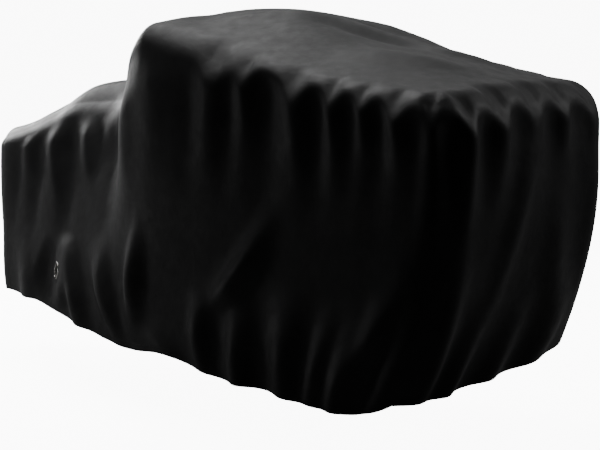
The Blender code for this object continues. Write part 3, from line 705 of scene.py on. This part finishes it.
def grain_group():
    """Fine unevenness of a finish: a value that changes a little over it, from low to high."""
    group, given, made = new_group("grain", ("Size", "Low", "High"), ("Value",))
    spread = node(group, "ShaderNodeMapRange", **NOISE_SPREAD)
    wire(group, noise(group, given, GRAIN_NOISE), spread.inputs["Value"])
    wire(group, given.outputs["Low"], spread.inputs["To Min"])
    wire(group, given.outputs["High"], spread.inputs["To Max"])
    wire(group, spread.outputs[0], made.inputs["Value"])
    return group


WEAVE = plain_weave_group()
CRUMPLE = crumple_group()
GRAIN = grain_group()


def use(tree, group, place, **values):
    """One of the shared groups, at a place and with a material's own values."""
    made = tree.nodes.new("ShaderNodeGroup")
    made.node_tree = group
    wire(tree, place, made.inputs["Place"])
    for key, value in values.items():
        made.inputs[key].default_value = value
    return made


def bump(tree, height, distance, strength, below=None):
    """A normal that rises and falls with a height, on top of another where one is given."""
    made = node(tree, "ShaderNodeBump", Distance=distance, Strength=strength)
    wire(tree, height, made.inputs["Height"])
    if below is not None:
        wire(tree, below, made.inputs["Normal"])
    return made.outputs["Normal"]


def two_tones(tree, factor, colours):
    """A colour between the darkest and the lightest."""
    made = node(tree, "ShaderNodeMix", data_type="RGBA")
    wire(tree, factor, made.inputs["Factor"])
    for socket, colour in zip(("A", "B"), colours):
        made.inputs[socket].default_value = (*colour, 1)
    return made.outputs["Result"]


def new_material(name):
    """A new material, with its tree, its main shader and the places on its piece."""
    material = bpy.data.materials.new(name)
    material.use_nodes = True
    tree = material.node_tree
    return material, tree, tree.nodes["Principled BSDF"], node(tree, "ShaderNodeTexCoord").outputs


def cloth_material(name, colours, pitch, dent_depth):
    """Black polyester, woven, with a thin matt coating that takes a soft light at a low angle."""
    material, tree, shader, places = new_material(name)
    weave = use(tree, WEAVE, places["UV"], Pitch=pitch)
    crumple = use(tree, CRUMPLE, places["Object"], Size=DENT_SIZE)
    tone = use(tree, GRAIN, places["Object"], **CLOTH_TONE)
    gloss = use(tree, GRAIN, places["Object"], **CLOTH_GLOSS)
    threads = maths(tree, "MULTIPLY", weave.outputs["Thread"], WEAVE_TONE)
    mix = maths(tree, "ADD", tone.outputs["Value"], threads)
    wire(tree, two_tones(tree, mix, colours), shader.inputs["Base Color"])
    wire(tree, gloss.outputs["Value"], shader.inputs["Roughness"])
    dents = bump(tree, crumple.outputs["Height"], dent_depth, DENT_STRENGTH)
    woven = bump(tree, weave.outputs["Height"], WEAVE_HEIGHT, WEAVE_STRENGTH, dents)
    wire(tree, woven, shader.inputs["Normal"])
    shader.inputs["Specular IOR Level"].default_value = CLOTH_SPECULAR
    shader.inputs["Sheen Weight"].default_value = CLOTH_SHEEN
    shader.inputs["Sheen Roughness"].default_value = SHEEN_ROUGHNESS
    return material


def thread_material(name, colours):
    """Spun thread, a little lighter where it catches the light."""
    material, tree, shader, places = new_material(name)
    tone = use(tree, GRAIN, places["Object"], **THREAD_TONE)
    gloss = use(tree, GRAIN, places["Object"], **THREAD_GLOSS)
    wire(tree, two_tones(tree, tone.outputs["Value"], colours), shader.inputs["Base Color"])
    wire(tree, gloss.outputs["Value"], shader.inputs["Roughness"])
    return material


def plate_material(name, colours):
    """Nickel plate, bright, with fine rubbed scratches and a little dulling."""
    material, tree, shader, places = new_material(name)
    tone = use(tree, GRAIN, places["Object"], **NICKEL_TONE)
    gloss = use(tree, GRAIN, places["Object"], **NICKEL_GLOSS)
    rubbed = use(tree, GRAIN, places["Object"], **NICKEL_RUBBED)
    scratches = bump(tree, rubbed.outputs["Value"], RUBBED_DEPTH, RUBBED_STRENGTH)
    wire(tree, two_tones(tree, tone.outputs["Value"], colours), shader.inputs["Base Color"])
    wire(tree, gloss.outputs["Value"], shader.inputs["Roughness"])
    wire(tree, scratches, shader.inputs["Normal"])
    shader.inputs["Metallic"].default_value = 1.0
    return material


# ---------------------------------------------------------------- pieces

def new_object(shape, name):
    """An object in the scene with the shape as its mesh."""
    mesh = bpy.data.meshes.new(name)
    shape.to_mesh(mesh)
    shape.free()
    made = bpy.data.objects.new(name, mesh)
    bpy.context.scene.collection.objects.link(made)
    return made


def finish_piece(shape, name, material):
    """A piece of one material, smooth to the light."""
    piece = new_object(shape, name)
    piece.data.shade_smooth()
    piece.data.materials.append(material)
    return piece


def wall_depths():
    """Depths of the wall's rows: close together over the shoulder and the hem, even between them."""
    shoulder = np.linspace(0, SHOULDER_DEPTH, SHOULDER_ROWS + 1)
    body = np.linspace(SHOULDER_DEPTH, HEM_LINE - HEM_STEP, BODY_ROWS + 1)
    hem = np.linspace(HEM_LINE, 1, HEM_ROWS + 1)
    return np.concatenate((shoulder, body[1:], hem))


def square_cap(rows):
    """A flat grid from -1 to 1 each way, drawn down at its edge, one unit a row, into a square cap."""
    cap = bmesh.new()
    bmesh.ops.create_grid(cap, x_segments=SHEET_ALONG, y_segments=SHEET_ACROSS, size=1)
    rim = [edge for edge in cap.edges if edge.is_boundary]
    for row in range(1, rows):
        drawn = bmesh.ops.extrude_edge_only(cap, edges=rim)["geom"]
        for vertex in drawn:
            if isinstance(vertex, bmesh.types.BMVert):
                vertex.co.z = -row
        rim = [edge for edge in drawn if isinstance(edge, bmesh.types.BMEdge)]
    return cap


def cover_sheet(material):
    """The cap is laid to the cover's shape and gets its thickness, its folded hem and the eyelet's hole."""
    depths = wall_depths()
    cap = square_cap(len(depths))
    a, b, row = np.array([vertex.co for vertex in cap.verts]).T
    row = np.rint(-row).astype(int)
    depth = depths[row]
    place = place_on_rim(a, b)
    points = np.where((row > 0)[:, None], wall(place, depth), top(a, b)) - ORIGIN
    lay_threads(cap, a, b, row, place, depth)
    for vertex, point in zip(cap.verts, points):
        vertex.co = point
    bmesh.ops.recalc_face_normals(cap, faces=cap.faces)
    if max(cap.faces, key=lambda face: face.calc_center_median().z).normal.z < 0:
        bmesh.ops.reverse_faces(cap, faces=cap.faces)
    sheet = finish_piece(cap, "cover_sheet", material)
    thicken(sheet, depth)
    cutter = eyelet_cutter()
    hole = sheet.modifiers.new("eyelet hole", "BOOLEAN")
    hole.operation = "DIFFERENCE"
    hole.object = cutter
    keep_modified(sheet)
    bpy.data.objects.remove(cutter)
    return sheet


def thicken(sheet, depth):
    """Thickness to the inside: that of the folded hem in its rows, and of the plain cloth above."""
    weights = np.where(depth >= HEM_LINE, 1.0, CLOTH_THICKNESS / HEM_THICKNESS)
    group = sheet.vertex_groups.new(name="hem")
    for weight in np.unique(weights):
        group.add([int(k) for k in np.flatnonzero(weights == weight)], float(weight), "REPLACE")
    thick = sheet.modifiers.new("thickness", "SOLIDIFY")
    thick.thickness = HEM_THICKNESS
    thick.offset = -1
    thick.use_even_offset = True
    thick.vertex_group = "hem"


def keep_modified(piece):
    """The piece's mesh becomes what its modifiers make of it."""
    graph = bpy.context.evaluated_depsgraph_get()
    mesh = bpy.data.meshes.new_from_object(piece.evaluated_get(graph))
    plain = piece.data
    piece.modifiers.clear()
    piece.vertex_groups.clear()
    piece.data = mesh
    bpy.data.meshes.remove(plain)
    mesh.name = piece.name


def eyelet_matrix():
    """Matrix of the eyelet: its origin is on the cloth's outer face, with Z out of the cloth."""
    centre, side, up, out = eyelet_frame()
    matrix = Matrix(np.column_stack((side, up, out))).to_4x4()
    matrix.translation = centre - ORIGIN
    return matrix


def eyelet_cutter():
    """A rod that cuts the cloth's hole, just clear of the eyelet's barrel."""
    bore = EYELET_BARREL + GAP
    rod = bmesh.new()
    bmesh.ops.create_cone(rod, cap_ends=True, segments=TURNED_STEPS, radius1=bore, radius2=bore,
                          depth=CUTTER_DEPTH, matrix=eyelet_matrix())
    return new_object(rod, "eyelet_cutter")


def lay_threads(cap, a, b, row, place, depth):
    """The cloth's own map in metres: along and across on the top, round and down on the wall."""
    flat = cap.loops.layers.uv.new("cloth")
    cap.verts.index_update()
    on_top = np.stack((along_of(a), b * FRONT_WIDTH / 2), -1)
    for face in cap.faces:
        indices = [vertex.index for vertex in face.verts]
        if row[indices].max() == 0:
            for loop in face.loops:
                loop[flat].uv = on_top[loop.vert.index]
            continue
        places = place[indices]
        wraps = places.max() - places.min() > RIM_LENGTH / 2
        for loop, run in zip(face.loops, places):
            if wraps and run < RIM_LENGTH / 2:
                run = run + RIM_LENGTH
            loop[flat].uv = (run, -depth[loop.vert.index] * WALL_DROP)


def turned(name, profile, material):
    """A closed profile of radius and height, turned round the eyelet's axis."""
    count = len(profile)
    shape = bmesh.new()
    bmesh.ops.create_grid(shape, x_segments=TURNED_STEPS, y_segments=count, size=1)
    for vertex in shape.verts:
        turn = (vertex.co.x + 1) * np.pi
        radius, height = profile[round((vertex.co.y + 1) / 2 * count) % count]
        vertex.co = (radius * np.cos(turn), radius * np.sin(turn), height)
    bmesh.ops.remove_doubles(shape, verts=shape.verts, dist=MERGE_DISTANCE)
    flat = shape.loops.layers.uv.new("cloth")
    for face in shape.faces:
        for loop in face.loops:
            loop[flat].uv = loop.vert.co.xy
    bmesh.ops.transform(shape, matrix=eyelet_matrix(), verts=shape.verts)
    bmesh.ops.recalc_face_normals(shape, faces=shape.faces)
    piece = finish_piece(shape, name, material)
    piece.data.set_sharp_from_angle(angle=SHARP_ANGLE)
    return piece


def crown(inner, outer, low, high):
    """Rounded face of a flange, from its hole to its rim: low at both, high between them."""
    angles = np.linspace(0, np.pi, CROWN_POINTS)
    radii = inner + (outer - inner) * (1 - np.cos(angles)) / 2
    return list(zip(radii, low + (high - low) * np.sin(angles)))


def eyelet_ring(material):
    """A domed flange outside, a barrel through the cloth and a washer rolled over inside."""
    grip = -CLOTH_THICKNESS - PATCH_GAP - PATCH_THICKNESS - GAP
    outside = crown(EYELET_HOLE, EYELET_FLANGE, GAP + RIM_THICKNESS, FLANGE_CROWN)
    inside = crown(EYELET_HOLE, EYELET_WASHER, grip - RIM_THICKNESS, grip - WASHER_CROWN)
    barrel = [(EYELET_FLANGE, GAP), (EYELET_BARREL, GAP), (EYELET_BARREL, grip), (EYELET_WASHER, grip)]
    return turned("rolled_eyelet", outside + barrel + inside[::-1], material)


def eyelet_patch(material):
    """The disc of doubled cloth behind the eyelet, with its edge rounded."""
    front = -CLOTH_THICKNESS - PATCH_GAP
    middle = front - PATCH_THICKNESS / 2
    angles = np.linspace(np.pi / 2, -np.pi / 2, EDGE_POINTS)
    half = PATCH_THICKNESS / 2
    edge = [(PATCH_RADIUS - half + half * np.cos(turn), middle + half * np.sin(turn)) for turn in angles]
    bore = EYELET_BARREL + GAP
    return turned("patch_disc", [(bore, front)] + edge + [(bore, front - PATCH_THICKNESS)], material)


def stitches(name, starts, ends, outs, material):
    """A row of stitches: each is a thread from its start to its end, half sunk in the cloth."""
    stitch = bmesh.new()
    bmesh.ops.create_uvsphere(stitch, u_segments=STITCH_SIDES, v_segments=STITCH_RINGS, radius=1)
    row = finish_piece(stitch, name, material)
    repeat = row.modifiers.new("repeat", "ARRAY")
    repeat.count = len(starts)
    repeat.use_relative_offset = False
    repeat.use_constant_offset = True
    repeat.constant_offset_displace = (0, 0, STITCH_SPACING)
    keep_modified(row)
    points = np.array([vertex.co for vertex in row.data.vertices])
    which = np.rint(points[:, 2] / STITCH_SPACING).astype(int)
    along = points[:, 2] - which * STITCH_SPACING
    run = ends - starts
    length = np.linalg.norm(run, axis=1, keepdims=True)
    side = np.cross(outs, run)
    side = side / np.linalg.norm(side, axis=1, keepdims=True) * STITCH_RADIUS
    over = np.cross(run / length, side)
    laid = (starts + ends)[which] / 2
    laid = laid + points[:, :1] * side[which]
    laid = laid + points[:, 1:2] * over[which]
    laid = laid + along[:, None] * run[which] / 2
    for vertex, point in zip(row.data.vertices, laid):
        vertex.co = point
    return row


def hem_stitches(material):
    """Stitches all round the hem, at the same pitch whatever its folds."""
    places = np.linspace(0, RIM_LENGTH, STITCH_SAMPLES)
    line = wall(places, HEM_STITCH_LINE) - ORIGIN
    steps = np.linalg.norm(np.diff(line, axis=0), axis=1)
    run = np.concatenate(([0], np.cumsum(steps)))
    count = int(run[-1] / STITCH_PITCH)
    starts = np.arange(count) * run[-1] / count
    first, last = (np.interp(starts + shift, run, places) for shift in (0, STITCH_LENGTH))
    head, foot = (wall(at, HEM_STITCH_LINE) - ORIGIN for at in (first, last))
    below = wall(first, 1.0) - ORIGIN - head
    outs = np.cross(foot - head, -below)
    return stitches("hem_stitches", head, foot, outs, material)


def patch_stitches(material):
    """The ring of stitches that holds the patch, seen round the eyelet on the cloth's outer face."""
    count = int(2 * np.pi * PATCH_STITCHING / STITCH_PITCH)
    turns = np.arange(count) * 2 * np.pi / count
    matrix = np.array(eyelet_matrix())
    ends = []
    for shift in (0, STITCH_LENGTH / PATCH_STITCHING):
        ring = np.stack((np.cos(turns + shift), np.sin(turns + shift)), -1) * PATCH_STITCHING
        ends.append(ring @ matrix[:3, :2].T + matrix[:3, 3])
    return stitches("patch_stitches", *ends, np.tile(matrix[:3, 2], (count, 1)), material)


def main():
    """The scene, then each piece, hung on the root body, with the solid that it stands for hidden."""
    make_camera()
    make_floor()
    make_lights()
    cloth = cloth_material("black coated cloth", CLOTH_COLOURS, CLOTH_PITCH, CLOTH_DENTS)
    doubled = cloth_material("doubled cloth", DOUBLED_COLOURS, DOUBLED_PITCH, DOUBLED_DENTS)
    thread = thread_material("black thread", THREAD_COLOURS)
    nickel = plate_material("nickel plate", NICKEL_COLOURS)
    pieces = (
        (cover_sheet(cloth), "cloth", "cover_cloth"),
        (eyelet_patch(doubled), "doubled_cloth", "eyelet_patch"),
        (eyelet_ring(nickel), "eyelet_metal", "eyelet_ring"),
        (hem_stitches(thread), "cloth", None),
        (patch_stitches(thread), "doubled_cloth", None),
    )
    for piece, slot, stands_for in pieces:
        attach(piece, "root")
        if stands_for:
            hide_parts(stands_for)


main()
